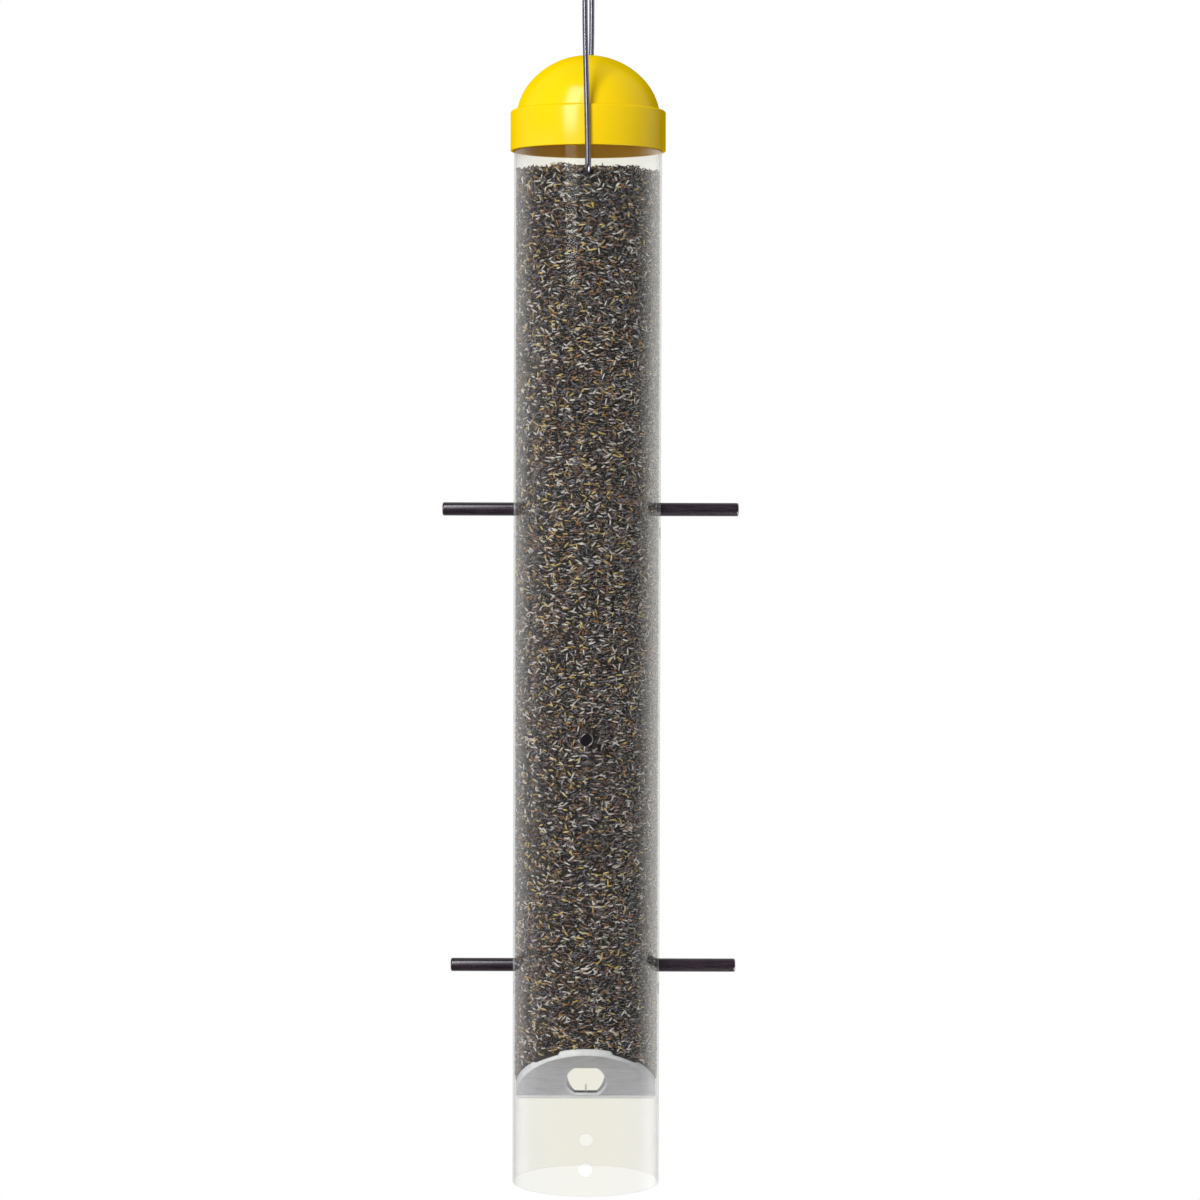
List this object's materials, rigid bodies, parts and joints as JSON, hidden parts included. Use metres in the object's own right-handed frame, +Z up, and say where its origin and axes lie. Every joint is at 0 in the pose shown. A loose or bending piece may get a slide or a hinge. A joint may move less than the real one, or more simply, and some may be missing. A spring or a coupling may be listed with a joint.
{
  "type": "hanging tube bird feeder",
  "caption": "Clear tube bird feeder for fine seed, hung from a wire bail, with a domed lift-off cap, cross perches above its seed ports and a sloping seed baffle in the open base.",
  "frame": {"origin": "hook seat: the highest point inside the crook at the top of the bail, on the tube's axis", "axes": "+Z up along the tube, +X along the upper and lower perches, +Y along the middle perch and the bail's ends, from the front of the feeder to its back"},
  "size_m": [0.1408, 0.14, 0.6582],
  "materials": {
    "steel_wire": "bare drawn wire",
    "clear_tube": "clear, polished, faintly cream",
    "yellow_cap": "moulded, semi-gloss",
    "dark_perch": "dark brown gloss lacquer on dowel",
    "milky_baffle": "milky translucent moulding",
    "seed": "dry dark seed, loose"
  },
  "bodies": {
    "bail": {"bail_wire": "steel_wire"},
    "feeder": {"tube": "clear_tube", "perch_top": "dark_perch", "perch_middle": "dark_perch", "perch_bottom": "dark_perch", "seed_baffle": "milky_baffle", "seed_fill": "seed"},
    "cap": {"cap": "yellow_cap"}
  },
  "joints": [
    {"name": "tube_swing", "type": "hinge", "parent": "bail", "child": "feeder", "pos_m": [0, 0, -0.17675], "axis": [0, 1, 0], "range_deg": [-90, 90]},
    {"name": "cap_lift", "type": "slide", "parent": "feeder", "child": "cap", "axis": [0, 0, 1], "range_m": [0, 0.09]}
  ]
}
